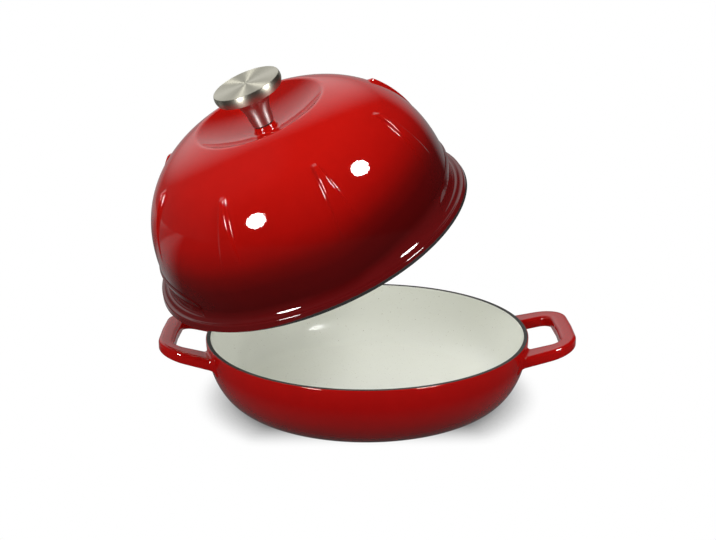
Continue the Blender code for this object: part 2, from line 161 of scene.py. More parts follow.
# Raised marks on the lid's shoulder
MARKS = 8
MARK_PHASE = radians(14.1)
MARK_TOP = 0.0892
MARK_END = 0.0430
MARK_LEAD = 0.0030
MARK_RAISE = 0.0027
MARK_TIP_ANGLE = radians(2.0)
MARK_FOOT_ANGLE = radians(8.3)
MARK_STEP_ANGLE = radians(1.1)
MARK_EARLY = 0.3
MARK_TOP_LEAD = 0.35
STEP_CORNER = 0.42
MARK_TOP_COLUMNS = 3
MARK_SIDE_COLUMNS = 16
MARK_FOOT_COLUMNS = 3
PLAIN_COLUMNS = 22

# Knob
KNOB_WASHER_THICKNESS = 0.0006
KNOB_RADIUS = 0.0272
KNOB_HEIGHT = 0.0341
KNOB_DISC = 0.0083
KNOB_BULGE = 0.0016
KNOB_WIDEST = 0.3
KNOB_WALL = 0.0015
KNOB_EDGE = 0.0007
KNOB_PLATE = 0.0020
STEM_BASE_RADIUS = 0.0087
STEM_NECK_RADIUS = 0.0095
STEM_NECK_HEIGHT = 0.0057
STEM_FLARE_RADIUS = 0.0246
STEM_BORE = 0.0052
STEM_EDGE = 0.0003
STEM_RECESS = 0.0010
KNOB_COLUMNS = 144
SIDE_STEPS = 12
KNOB_EDGE_STEPS = 5
FACE_RINGS = 12
STEM_EDGE_STEPS = 3
FLARE_STEPS = 28

# The raised lid
SWING_AXIS = Vector((0.4520, -0.8256, 0.3377))
SWING_BEARING = radians(211.52)
SWING_OUTSIDE_RIM = 0.0735
SWING_BELOW_RIM = 0.0279
LID_OPEN = radians(25.92)

# Camera and studio
VIEW_TARGET = Vector((-0.00696, 0, 0.10405))
VIEW_DISTANCE = 1.0
VIEW_ELEVATION = radians(16.507)
VIEW_ROLL = radians(0.438)
VIEW_CLIP = 20
FOCAL_PIXELS = 1240.5
FRAME_PIXELS = 716
LAMP_DISTANCE = 1.6
LAMP_WIDTH = 0.40

# The spot on the dome that mirrors each lamp, and the lamp's direction from there
LAMPS = {
    "lamp_left": ((-0.079, -0.109, 0.173), (-0.583, -0.758, 0.292)),
    "lamp_right": ((-0.005, -0.090, 0.207), (0.535, -0.370, 0.760)),
}
LAMP_GAP = 0.02
LAMP_RADIANCE = 15.5
GLOSS_RADIANCE = 85
SOFT_LIGHT = 0.80

# What gloss sees beyond the table. A range says where the light grows from none to full, by direction.
ROOM_LIGHT = 0.02
SCREEN_LIGHT = 0.32
SCREEN_RANGE = (0.76, 0.93)
SIDE_LIGHT = 0.09
SIDE_RANGE = (-0.1, -0.5)
SIDE_DEPTH_RANGE = (-0.8, -0.1)
SOFT_BOX = (-0.33, 0.74, 0.58)
SOFT_BOX_LIGHT = 0.97
SOFT_BOX_RANGE = (0.78, 0.99)

# Table
TABLE_RADIUS = 1.6
TABLE_DROP = 0.0002
TABLE_COLUMNS = 96
TABLE_GREY = (0.75, 0.75, 0.75)
TABLE_FADE = (0.22, 0.50)
TABLE_FRONT = (-0.055, -0.114)
SHADOW_REACH = 0.030
SHADOW_SAMPLES = 8
SHADOW_RANGE = (0.10, 0.80)
SHADOW_DARKEST = 0.22
NEAR_GLOSS = 0.12
NEAR_RANGE = (0.20, 0.13)

# What gloss sees of the table, by its depth in metres behind the pan's middle
TABLE_GLOSS = (
    (0.04, (0.05, 0.05, 0.05)),
    (0.16, (0.35, 0.35, 0.35)),
    (0.27, (0.35, 0.35, 0.35)),
    (0.33, (0.12, 0.12, 0.12)),
    (0.50, (0.15, 0.15, 0.15)),
    (0.75, (0.32, 0.32, 0.32)),
)

# Red enamel, by height as a share of each casting's reach
LID_REACH = 0.12
LID_STOPS = (
    (0.05, (0.125, 0.0050, 0.0055)),
    (0.11, (0.078, 0.0014, 0.0016)),
    (0.24, (0.100, 0.0016, 0.0018)),
    (0.33, (0.165, 0.0022, 0.0018)),
    (0.42, (0.300, 0.0030, 0.0020)),
    (0.52, (0.425, 0.0040, 0.0024)),
    (0.78, (0.550, 0.0070, 0.0040)),
)
PAN_REACH = 0.06
PAN_STOPS = (
    (0.00, (0.060, 0.0040, 0.0040)),
    (0.12, (0.120, 0.0040, 0.0040)),
    (0.35, (0.240, 0.0020, 0.0020)),
    (0.60, (0.330, 0.0020, 0.0018)),
    (0.85, (0.400, 0.0040, 0.0030)),
)
RED_ROUGHNESS = 0.028
RED_IOR = 1.5
SPRAY_DRIFT = 0.03
# Painted shade on the lid: the red ramp is shifted darker towards +X over this range of x
PAINTED_SHADE = -0.10
PAINTED_SHADE_RANGE = (0.00, 0.11)
MOTTLE_GREY = (0.30, 0.30, 0.30)

# Bare strip at the foot of the lid
BARE_RANGE = (-0.085, -0.005)
BARE_HEIGHTS = (0.0004, 0.0026)
BARE_WANDER = 0.0004
BARE_BLUR = 0.0002
BARE_BLACK = (0.004, 0.0035, 0.003)
BARE_ROUGHNESS = 0.85

# Cream enamel, bare rims, screw and washers
CREAM_TINTS = ((0.94, 0.955, 0.87), (0.96, 0.97, 0.90))
SPECK_TINT = (0.42, 0.38, 0.28)
RIM_BLACKS = ((0.014, 0.013, 0.012), (0.055, 0.051, 0.048))
SCREW_GREYS = ((0.48, 0.48, 0.48), (0.62, 0.61, 0.60))
FIBRE_BLACKS = ((0.012, 0.010, 0.010), (0.035, 0.030, 0.028))

# Turned steel
CAP_TINT = (0.585, 0.565, 0.465)
NECK_TINT = (0.66, 0.64, 0.62)
LAY_TURN = 0.25
RING_SCALE = 60
RING_SHADE = 0.82


# Mesh helpers


def add_object(name, data):
    """A new object in the scene."""
    item = bpy.data.objects.new(name, data)
    bpy.context.scene.collection.objects.link(item)
    return item


def place_mesh(name, form, coats, move=Matrix()):
    """Moves an edit mesh to its place and makes it an object, shaded smooth but for its sharp edges.

    Two attributes keep what the materials need: each point's place in the piece's own frame, and the way
    round its axis there.
    """
    own_place = form.verts.layers.float_vector.new("own_place")
    lay = form.verts.layers.float_vector.new("lay")
    for corner in form.verts:
        corner[own_place] = corner.co
        corner[lay] = move.to_3x3() @ Vector((-corner.co.y, corner.co.x, 0)).normalized()
        corner.co = move @ corner.co
    mesh = bpy.data.meshes.new(name)
    bmesh.ops.recalc_face_normals(form, faces=form.faces)
    form.to_mesh(mesh)
    form.free()
    mesh.shade_smooth()
    mesh.set_sharp_from_angle(angle=SHARP_ANGLE)
    for coat in coats:
        mesh.materials.append(coat)
    return add_object(name, mesh)


def skin(name, rows, coats, closed=False, move=Matrix()):
    """A skin over rows of (ring, zone), which closes on its first ring or is capped at both ends.

    Every ring has the same count of points, and zone is the material of the band between that ring and the
    next.
    """
    form = bmesh.new()
    rings = [[form.verts.new(point) for point in ring] for ring, _ in rows]
    following = rings[1:] + rings[:1] if closed else rings[1:]
    for (ring, zone), row, after in zip(rows, rings, following):
        for here in range(len(row)):
            there = (here + 1) % len(row)
            form.faces.new((row[here], row[there], after[there], after[here])).material_index = zone
    if not closed:
        form.faces.new(rings[0]).material_index = rows[0][1]
        form.faces.new(rings[-1]).material_index = rows[-1][1]
    return place_mesh(name, form, coats, move)


def circle(radius, height, columns):
    """A level ring of points."""
    turns = [2 * pi * column / columns for column in range(columns)]
    return [(radius * cos(turn), radius * sin(turn), height) for turn in turns]


def arc(centre, radius, start, end, steps):
    """Points of an arc in a (radius, height) profile, both ends included."""
    turns = [start + (end - start) * step / steps for step in range(steps + 1)]
    return [(centre[0] + radius * cos(turn), centre[1] + radius * sin(turn)) for turn in turns]


def spread(start, end, steps):
    """Even steps that leave the last one out."""
    return [start + (end - start) * step / steps for step in range(steps)]


def ease(share):
    """A smooth step from 0 to 1."""
    share = min(max(share, 0), 1)
    return share * share * (3 - 2 * share)


def bevel(share):
    """A straight step from 0 to 1 with short rounded corners."""
    corner = STEP_CORNER
    if share < corner:
        return share ** 2 / (2 * corner * (1 - corner))
    if share > 1 - corner:
        return 1 - (1 - share) ** 2 / (2 * corner * (1 - corner))
    return (share - corner / 2) / (1 - corner)


def zoned(profile, zone):
    """Rows of one zone."""
    return [(point, zone) for point in profile]


def raised():
    """The move that takes the lid's own frame to the raised place."""
    reach = RIM_RADIUS + SWING_OUTSIDE_RIM
    pivot = Vector((reach * cos(SWING_BEARING), reach * sin(SWING_BEARING), PAN_HEIGHT - SWING_BELOW_RIM))
    swing = Matrix.Rotation(LID_OPEN, 4, SWING_AXIS.normalized())
    return Matrix.Translation(pivot) @ swing @ Matrix.Translation(Vector((0, 0, PAN_HEIGHT + GAP)) - pivot)


# Pan

RED, CREAM, BLACK = range(3)


def wall_radius(height):
    """Radius of the pan's outside at a height: a quarter of an ellipse."""
    share = min(max((PAN_HEIGHT - height) / PAN_HEIGHT, 0), 1)
    return BASE_RADIUS + (RIM_RADIUS - BASE_RADIUS) * sqrt(1 - share ** 2)


def wall_profile(foot, rim, floor, start):
    """Points up a wall, from a height of start to the rim, without the rim itself."""
    first = acos((PAN_HEIGHT - start) / (PAN_HEIGHT - floor))
    points = []
    for turn in spread(first, pi / 2, WALL_STEPS):
        points.append((foot + (rim - foot) * sin(turn), PAN_HEIGHT - (PAN_HEIGHT - floor) * cos(turn)))
    return points


def pan_profile():
    """The pan's section, from the middle of the underside round the rim to the middle of the floor."""
    inner = RIM_RADIUS - PAN_WALL
    floor_foot = BASE_RADIUS - PAN_WALL
    flat_end = BASE_RADIUS - BASE_EDGE
    under = [(radius, 0) for radius in spread(PAN_MIDDLE, flat_end, BASE_STEPS) + [flat_end]]
    under += [(wall_radius(height), height) for height in BASE_RINGS]
    rim_outer = arc((RIM_RADIUS - RIM_EDGE, PAN_HEIGHT - RIM_EDGE), RIM_EDGE, 0, pi / 2, RIM_STEPS)
    rim_inner = arc((inner + RIM_EDGE, PAN_HEIGHT - RIM_EDGE), RIM_EDGE, pi / 2, pi, RIM_STEPS)
    down = wall_profile(floor_foot, inner, PAN_FLOOR, PAN_FLOOR + JUST_ABOVE)[::-1]
    floor_radii = spread(floor_foot - FLOOR_LEAD, PAN_MIDDLE, FLOOR_STEPS) + [PAN_MIDDLE]
    floor = [(radius, PAN_FLOOR) for radius in floor_radii]
    return (zoned(under, BLACK) + zoned(wall_profile(BASE_RADIUS, RIM_RADIUS, 0, BASE_COAT), RED)
            + zoned(rim_outer[:-2], RED) + zoned(rim_outer[-2:] + rim_inner[:3], BLACK)
            + zoned(rim_inner[3:], CREAM) + zoned(down + floor, CREAM))


def pan(coats):
    """The bowl of the pan."""
    rows = [(circle(*point, PAN_COLUMNS), zone) for point, zone in pan_profile()]
    return skin("pan_casting", rows, coats)


def rounded_path(corners, bends):
    """A flat path with its inner corners rounded. A bend is (radius, steps)."""
    points = [corners[0]]
    for before, corner, after, (radius, steps) in zip(corners, corners[1:], corners[2:], bends):
        into = (corner - before).normalized()
        away = (after - corner).normalized()
        turn = atan2(into.x * away.y - into.y * away.x, into.dot(away))
        start = corner - into * radius * tan(abs(turn) / 2)
        side = 1 if turn > 0 else -1
        centre = start + Vector((-into.y, into.x)) * radius * side
        spoke = start - centre
        for step in range(steps + 1):
            part = turn * step / steps
            points.append(centre + Vector((spoke.x * cos(part) - spoke.y * sin(part),
                                           spoke.x * sin(part) + spoke.y * cos(part))))
    points.append(corners[-1])
    return points


def handle_outline(reach, half_width, root_half_width, corner):
    """One edge of the handle in plan, from root to root, with close points along both arms."""
    root = RIM_RADIUS - HANDLE_ROOT_LEAD
    corners = [
        Vector((root, -root_half_width)),
        Vector((reach - HANDLE_BOW, -half_width)),
        Vector((reach, 0)),
        Vector((reach - HANDLE_BOW, half_width)),
        Vector((root, root_half_width)),
    ]
    turn = (corner, CORNER_STEPS)
    path = rounded_path(corners, [turn, (HANDLE_BOW_RADIUS, BOW_STEPS), turn])
    start = wall_radius(PAN_HEIGHT - HANDLE_DROP) - HANDLE_ROOT_DEPTH
    away = path[1] - path[0]
    first = path[0] + away * ((sqrt(start ** 2 - root_half_width ** 2) - path[0].x) / away.x)
    arm = [first.lerp(path[1], step / ARM_STEPS) for step in range(ARM_STEPS)]
    mirrored = [Vector((point.x, -point.y)) for point in reversed(arm)]
    return arm + path[1:-1] + mirrored


def handle_top(x):
    """The handle rises as it leaves the pan."""
    return PAN_HEIGHT - HANDLE_DROP + HANDLE_RISE * (x - RIM_RADIUS)


def bar_section(outer, inner):
    """The handle's rounded section, with rows of points along its four faces."""
    across = (inner - outer).normalized()
    rounds = (
        (outer, across, HANDLE_BOTTOM_EDGE, False),
        (outer, across, HANDLE_TOP_EDGE, True),
        (inner, -across, HANDLE_TOP_EDGE, True),
        (inner, -across, HANDLE_BOTTOM_EDGE, False),
    )
    corners = []
    for index, (edge, inward, radius, top) in enumerate(rounds):
        turns = [pi / 2 * step / EDGE_STEPS for step in range(EDGE_STEPS + 1)]
        points = []
        for turn in turns if index % 2 else reversed(turns):
            spot = edge + inward * radius * (1 - cos(turn))
            height = handle_top(spot.x)
            height += -radius * (1 - sin(turn)) if top else radius * (1 - sin(turn)) - HANDLE_THICKNESS
            points.append(Vector((spot.x, spot.y, height)))
        corners.append(points)
    section = []
    for points, after in zip(corners, corners[1:] + corners[:1]):
        section += points + [points[-1].lerp(after[0], step / FACE_STEPS) for step in range(1, FACE_STEPS)]
    return section


def fillet(point):
    """How far the section swells as it nears the wall."""
    clear = hypot(point.x, point.y) - wall_radius(point.z)
    close = min(max(HANDLE_FILLET - clear, 0), HANDLE_FILLET)
    return HANDLE_FILLET - sqrt(HANDLE_FILLET ** 2 - close ** 2)


def handle_ring(outer, inner, side):
    """A section of the handle, swollen where it nears the wall, for the +X or the -X side."""
    middle = (outer + inner) / 2
    across = (outer - middle).normalized()
    half = (outer - middle).length
    ring = []
    for point in bar_section(outer, inner):
        swell = fillet(point)
        along = (Vector((point.x, point.y)) - middle).dot(across) / half
        mid_height = handle_top(point.x) - HANDLE_THICKNESS / 2
        up = (point.z - mid_height) / (HANDLE_THICKNESS / 2)
        spot = Vector((point.x, point.y)) + across * along * swell
        ring.append((side * spot.x, side * spot.y, point.z + up * swell))
    return ring


def handle(side, coats):
    """One loop handle. Its ends lie inside the pan's wall."""
    reach = RIM_RADIUS + HANDLE_REACH
    outer = handle_outline(reach, HANDLE_HALF_WIDTH, HANDLE_ROOT_HALF_WIDTH, HANDLE_CORNER)
    inner = handle_outline(reach - HANDLE_BAR, HANDLE_HALF_WIDTH - HANDLE_ARM,
                           HANDLE_ROOT_HALF_WIDTH - HANDLE_ROOT_ARM, FINGER_CORNER)
    rows = [(handle_ring(*pair, side), RED) for pair in zip(outer, inner)]
    return skin(f"handle_{'right' if side > 0 else 'left'}", rows, coats)


# Lid


def dome_base():
    """Radius of the dome at its springing."""
    return RIM_RADIUS - FLANGE_WIDTH


def dome_point(turn, inset=0.0):
    """A point of the dome's section. turn is 0 at the springing and a quarter turn at the apex."""
    radius = (dome_base() - inset) * cos(turn) ** (2 / DOME_FLAT_POWER)
    rise = (DOME_APEX - inset - SPRING_HEIGHT) * sin(turn) ** (2 / DOME_SIDE_POWER)
    return radius, SPRING_HEIGHT + rise


def dome_normal(turn):
    """The dome's outward direction at that point."""
    radius = cos(turn) ** (2 / DOME_FLAT_POWER)
    rise = sin(turn) ** (2 / DOME_SIDE_POWER)
    out = DOME_FLAT_POWER * radius ** (DOME_FLAT_POWER - 1) / dome_base()
    up = DOME_SIDE_POWER * rise ** (DOME_SIDE_POWER - 1) / (DOME_APEX - SPRING_HEIGHT)
    length = hypot(out, up)
    return out / length, up / length


def turn_at_height(height):
    """Where the dome's section is at a height."""
    share = (height - SPRING_HEIGHT) / (DOME_APEX - SPRING_HEIGHT)
    return asin(share ** (DOME_SIDE_POWER / 2))


def turn_at_radius(radius, inset=0.0):
    """Where the dome's section is at a radius."""
    return acos((radius / (dome_base() - inset)) ** (DOME_FLAT_POWER / 2))


def mark_height(height):
    """A mark's height above the dome along its middle: nothing at its foot, then growing to a steep end."""
    grown = min(max((height - MARK_END) / (MARK_TOP - MARK_END), 0), 1)
    start = MARK_TOP - MARK_EARLY * MARK_LEAD
    ending = ease((height - start) / (MARK_TOP + MARK_LEAD - start))
    return MARK_RAISE * grown * (1 - ending)


def mark_offsets(height):
    """Azimuths across one mark and half way to its neighbours, each with its share of the mark's height."""
    share = min(max((MARK_TOP - height) / (MARK_TOP - MARK_END), 0), 1)
    half = (MARK_TIP_ANGLE + (MARK_FOOT_ANGLE - MARK_TIP_ANGLE) * share) / 2
    top_edge = half - MARK_TOP_LEAD * MARK_STEP_ANGLE
    foot = half + MARK_STEP_ANGLE
    widest = MARK_FOOT_ANGLE / 2 + 2 * MARK_STEP_ANGLE
    right = zoned(spread(0, top_edge, MARK_TOP_COLUMNS)[1:], 1)
    for step in range(MARK_SIDE_COLUMNS + 1):
        down = step / MARK_SIDE_COLUMNS
        right.append((top_edge + (foot - top_edge) * down, 1 - bevel(down)))
    right += zoned(spread(foot, widest, MARK_FOOT_COLUMNS)[1:], 0)
    right += zoned(spread(widest, pi / MARKS, PLAIN_COLUMNS), 0)
    left = [(-angle, part) for angle, part in reversed(right)]
    return [(-pi / MARKS, 0)] + left + [(0, 1)] + right


def lid_azimuths(height):
    """Azimuths all round the lid, each with its share of a mark's height."""
    azimuths = []
    for mark in range(MARKS):
        middle = MARK_PHASE + 2 * pi * mark / MARKS
        azimuths += [(middle + offset, share) for offset, share in mark_offsets(height)]
    return azimuths


def lid_ring(radius, height, normal=(0, 0)):
    """A ring of the lid, pushed out along the normal where it crosses a mark."""
    lift = mark_height(height) if normal != (0, 0) else 0
    points = []
    for azimuth, share in lid_azimuths(height):
        out = radius + normal[0] * lift * share
        points.append((out * cos(azimuth), out * sin(azimuth), height + normal[1] * lift * share))
    return points


def outer_radius(height):
    """Radius of the lid's outer form above the flange, without the grips."""
    if height >= COVE_TOP:
        return dome_point(turn_at_height(height))[0]
    shoulder = RIM_RADIUS - FLANGE_DRAFT - FLANGE_ROUND
    share = (COVE_TOP - height) / (COVE_TOP - FLANGE_EDGE)
    return shoulder - (shoulder - outer_radius(COVE_TOP)) * sqrt(1 - share ** 2)


def grip_section(reach):
    """The section from the ledge to above the grip.

    reach is 1 over the middle of a handle and 0 beyond the grip.
    """
    top = GRIP_LEDGE + GRIP_LEAST + (GRIP_TOP - GRIP_LEDGE) * reach
    foot = dome_base() - GRIP_DEPTH
    crease = outer_radius(top) + GRIP_PROUD
    corner = min(GRIP_CORNER, (top - GRIP_LEDGE) / 2)
    face = []
    for turn in spread(0, pi / 2, GRIP_CORNER_STEPS):
        face.append((foot + corner * (1 - sin(turn)), GRIP_LEDGE + corner * (1 - cos(turn))))
    rise = top - GRIP_LEDGE - corner
    for step in range(GRIP_FACE_STEPS + 1):
        up = step / GRIP_FACE_STEPS
        face.append((foot + (crease - foot) * up, GRIP_LEDGE + corner + rise * up))
    below = GRIP_LEDGE - GRIP_STEP
    points = [(outer_radius(below), below)]
    for radius, height in face:
        plain = outer_radius(height)
        points.append((plain + (radius - plain) * reach, height))
    above = spread(top + GRIP_CREASE, GRIP_BLEND, GRIP_BLEND_STEPS)
    return points + [(outer_radius(height), height) for height in above]


def grip_rings():
    """The rings from the ledge to above the grips, which follow each grip's outline."""
    sections = []
    for azimuth, _ in lid_azimuths(0):
        turn = min(asin(abs(sin(azimuth))) / GRIP_HALF_ANGLE, 1)
        x, y = cos(azimuth), sin(azimuth)
        section = grip_section((1 - turn ** GRIP_POWER) ** (1 / GRIP_POWER))
        sections.append([(radius * x, radius * y, height) for radius, height in section])
    return [list(ring) for ring in zip(*sections)]


def ridge_centre():
    """Centre of the ridge's rounding, which follows on from the dome."""
    turn = turn_at_radius(CROWN_RADIUS)
    radius, height = dome_point(turn)
    out, up = dome_normal(turn)
    return radius - RIDGE_ROUND * out, height - RIDGE_ROUND * up


def dish_arc():
    """Centre height and radius of the dish, an arc that meets the ridge's rounding."""
    centre = ridge_centre()
    edge = centre[0] - RIDGE_ROUND * sin(DISH_SLOPE)
    radius = edge / sin(DISH_SLOPE)
    return centre[1] + (RIDGE_ROUND + radius) * cos(DISH_SLOPE), radius


def dish_height(radius, inset=0.0):
    """Height of the dish, or of its underside at an inset."""
    centre, curve = dish_arc()
    return centre - sqrt((curve + inset) ** 2 - radius ** 2)


def boss_top():
    """Height of the boss that carries the knob."""
    return dish_height(0) + BOSS_HEIGHT


def lid_inside():
    """The inner skin, from the hole out and down to the locating lip."""
    pad = dish_height(0, LID_WALL) - PAD_HEIGHT
    pad_radii = [HOLE_RADIUS] + spread(HOLE_RADIUS + HOLE_EDGE, PAD_RADIUS, PAD_STEPS) + [PAD_RADIUS]
    points = [(radius, pad) for radius in pad_radii]
    points.append((PAD_RADIUS + PAD_HEIGHT, dish_height(PAD_RADIUS, LID_WALL)))
    dish_edge = (dish_arc()[1] + LID_WALL) * sin(DISH_SLOPE)
    dish_radii = spread(PAD_RADIUS + 2 * PAD_HEIGHT, dish_edge, INSIDE_DISH_STEPS)
    points += [(radius, dish_height(radius, LID_WALL)) for radius in dish_radii]
    turns = spread(turn_at_radius(dish_edge, LID_WALL), 0, INSIDE_DOME_STEPS) + [0]
    return points + [dome_point(turn, LID_WALL) for turn in turns]


def lid_lip():
    """The lip that drops inside the pan's rim."""
    outside = RIM_RADIUS - PAN_WALL - LIP_CLEARANCE
    inside = outside - LIP_WIDTH - LIP_TAPER
    return [
        (inside, -LIP_HEIGHT + LIP_EDGE),
        (inside + LIP_EDGE, -LIP_HEIGHT),
        (outside - LIP_TAPER, -LIP_HEIGHT),
        (outside, 0),
    ]


def lid_flange():
    """The flange's rounded upper edge and the tall cove above it, up to the grips' ledge."""
    shoulder = (RIM_RADIUS - FLANGE_DRAFT - FLANGE_ROUND, FLANGE_EDGE - FLANGE_ROUND)
    last_turn = acos((COVE_TOP - GRIP_LEDGE) / (COVE_TOP - FLANGE_EDGE))
    cove = []
    for turn in spread(0, last_turn, COVE_STEPS)[1:]:
        height = COVE_TOP - (COVE_TOP - FLANGE_EDGE) * cos(turn)
        cove.append((outer_radius(height), height))
    return arc(shoulder, FLANGE_ROUND, 0, pi / 2, FLANGE_STEPS) + cove


def dome_turns():
    """Where the dome's rings lie: closer together along the marks and closest at their tops."""
    heights = spread(GRIP_BLEND, MARK_END, DOME_STEPS)
    heights += spread(MARK_END, MARK_TOP - MARK_LEAD, MARK_STEPS)
    heights += spread(MARK_TOP - MARK_LEAD, MARK_TOP + MARK_LEAD, MARK_TIP_STEPS)
    start = turn_at_height(MARK_TOP + MARK_LEAD)
    shoulder = spread(start, turn_at_radius(CROWN_RADIUS), SHOULDER_STEPS)
    return [turn_at_height(height) for height in heights] + shoulder


def lid_crown():
    """The ridge, the dish inside it and the boss in the middle, down to the edge of the hole."""
    tilt = acos(dome_normal(turn_at_radius(CROWN_RADIUS))[1])
    ridge = arc(ridge_centre(), RIDGE_ROUND, pi / 2 - tilt, pi / 2 + DISH_SLOPE, RIDGE_STEPS)
    dish_end = BOSS_RADIUS + BOSS_DRAFT + BOSS_FILLET
    dish = [(radius, dish_height(radius)) for radius in spread(ridge[-1][0], dish_end, DISH_STEPS)[1:]]
    cove_centre = (dish_end, dish_height(dish_end) + BOSS_FILLET)
    cove = arc(cove_centre, BOSS_FILLET, -pi / 2, -pi, BOSS_FILLET_STEPS)
    edge_centre = (BOSS_RADIUS - BOSS_EDGE, boss_top() - BOSS_EDGE)
    edge = arc(edge_centre, BOSS_EDGE, 0, pi / 2, BOSS_EDGE_STEPS)
    return ridge + dish + cove + edge + [(HOLE_RADIUS, boss_top())]


def lid(coats):
    """The lid's casting."""
    rim = [(RIM_RADIUS - RIM_EDGE, 0), (RIM_RADIUS, RIM_EDGE)]
    rows = [(lid_ring(*point), CREAM) for point in lid_inside()]
    rows += [(lid_ring(*point), BLACK) for point in lid_lip()]
    rows += [(lid_ring(*point), RED) for point in rim + lid_flange()]
    rows += [(ring, RED) for ring in grip_rings()]
    rows += [(lid_ring(*dome_point(turn), dome_normal(turn)), RED) for turn in dome_turns()]
    rows += [(lid_ring(*point), RED) for point in lid_crown()]
    return skin("lid_casting", rows, coats, closed=True, move=raised())


# Knob


def knob_base():
    """Height of the stem's foot, on the washer that lies on the boss."""
    return boss_top() + 2 * GAP + KNOB_WASHER_THICKNESS


def disc_bottom():
    """Height of the disc's lower edge."""
    return knob_base() + KNOB_HEIGHT - KNOB_DISC


def disc_inside():
    """Inner radius of the disc's shell."""
    return KNOB_RADIUS - KNOB_BULGE - KNOB_WALL


def side_radius(share):
    """Radius of the disc's bulged side, from -1 at its foot to 1 at its top."""
    return KNOB_RADIUS - KNOB_BULGE * ((share - KNOB_WIDEST) / (1 + KNOB_WIDEST)) ** 2


def lathe(name, profile, coats):
    """A turned piece on the lid's axis. Its profile starts and ends near the axis."""
    return skin(name, [(circle(*point, KNOB_COLUMNS), 0) for point in profile], coats, move=raised())


def knob_disc(coats):
    """The knob's disc: a shell with a bulged side and a finely rounded top edge."""
    bottom = disc_bottom()
    top = knob_base() + KNOB_HEIGHT
    ceiling = top - KNOB_WALL
    side = []
    for step in range(SIDE_STEPS + 1):
        share = 2 * step / SIDE_STEPS - 1
        side.append((side_radius(share), bottom + (KNOB_DISC - KNOB_EDGE) * (share + 1) / 2))
    edge_centre = (side_radius(1) - KNOB_EDGE, top - KNOB_EDGE)
    edge = arc(edge_centre, KNOB_EDGE, 0, pi / 2, KNOB_EDGE_STEPS)[1:]
    face_radii = spread(edge[-1][0], AXIS_RADIUS, FACE_RINGS)[1:] + [AXIS_RADIUS]
    face = [(radius, top) for radius in face_radii]
    inside = [(AXIS_RADIUS, ceiling), (disc_inside(), ceiling), (disc_inside(), bottom)]
    return lathe("knob_disc", inside + side + edge + face, coats)


def knob_neck(coats):
    """The stem, which flares like a trumpet under the disc."""
    base = knob_base()
    neck = base + STEM_NECK_HEIGHT
    top = disc_bottom() - GAP
    flare = []
    for turn in spread(0, pi / 2, FLARE_STEPS) + [pi / 2]:
        radius = STEM_FLARE_RADIUS - (STEM_FLARE_RADIUS - STEM_NECK_RADIUS) * cos(turn)
        flare.append((radius, neck + (top - neck) * sin(turn)))
    plate = disc_inside() - GAP
    foot = [(AXIS_RADIUS, base + STEM_RECESS), (STEM_BORE, base + STEM_RECESS), (STEM_BORE, base)]
    edge_centre = (STEM_BASE_RADIUS - STEM_EDGE, base + STEM_EDGE)
    foot += arc(edge_centre, STEM_EDGE, -pi / 2, 0, STEM_EDGE_STEPS)
    head = [(plate, top), (plate, top + KNOB_PLATE), (AXIS_RADIUS, top + KNOB_PLATE)]
    return lathe("knob_neck", foot + flare + head, coats)


# Materials


class Nodes:
    """Short ways to add nodes to a tree. A value is a number or another node's socket."""

    def __init__(self, tree):
        self.tree = tree
        self.nodes = tree.nodes

    def link(self, source, target):
        self.tree.links.new(source, target)

    def put(self, value, socket):
        if isinstance(value, (int, float)):
            socket.default_value = value
        elif isinstance(value, tuple):
            socket.default_value = (*value, 1)[:len(socket.default_value)]
        else:
            self.link(value, socket)

    def parts(self, vector):
        """X, Y and Z of a vector."""
        node = self.nodes.new("ShaderNodeSeparateXYZ")
        self.link(vector, node.inputs[0])
        return list(node.outputs)

    def dot(self, vector, direction):
        node = self.nodes.new("ShaderNodeVectorMath")
        node.operation = "DOT_PRODUCT"
        self.link(vector, node.inputs[0])
        node.inputs[1].default_value = Vector(direction).normalized()
        return node.outputs["Value"]

    def length(self, vector):
        node = self.nodes.new("ShaderNodeVectorMath")
        node.operation = "LENGTH"
        self.link(vector, node.inputs[0])
        return node.outputs["Value"]

    def math(self, operation, first, second):
        node = self.nodes.new("ShaderNodeMath")
        node.operation = operation
        self.put(first, node.inputs[0])
        self.put(second, node.inputs[1])
        return node.outputs[0]

    def blend(self, share, first, second):
        """Mixes two numbers."""
        node = self.nodes.new("ShaderNodeMix")
        self.put(share, node.inputs[0])
        self.put(first, node.inputs[2])
        self.put(second, node.inputs[3])
        return node.outputs[0]

    def span(self, value, low, high, start=0.0, end=1.0, kind="LINEAR"):
        """Maps a value's range low to high onto start to end."""
        node = self.nodes.new("ShaderNodeMapRange")
        node.interpolation_type = kind
        self.link(value, node.inputs["Value"])
        node.inputs["From Min"].default_value = low
        node.inputs["From Max"].default_value = high
        node.inputs["To Min"].default_value = start
        node.inputs["To Max"].default_value = end
        return node.outputs["Result"]


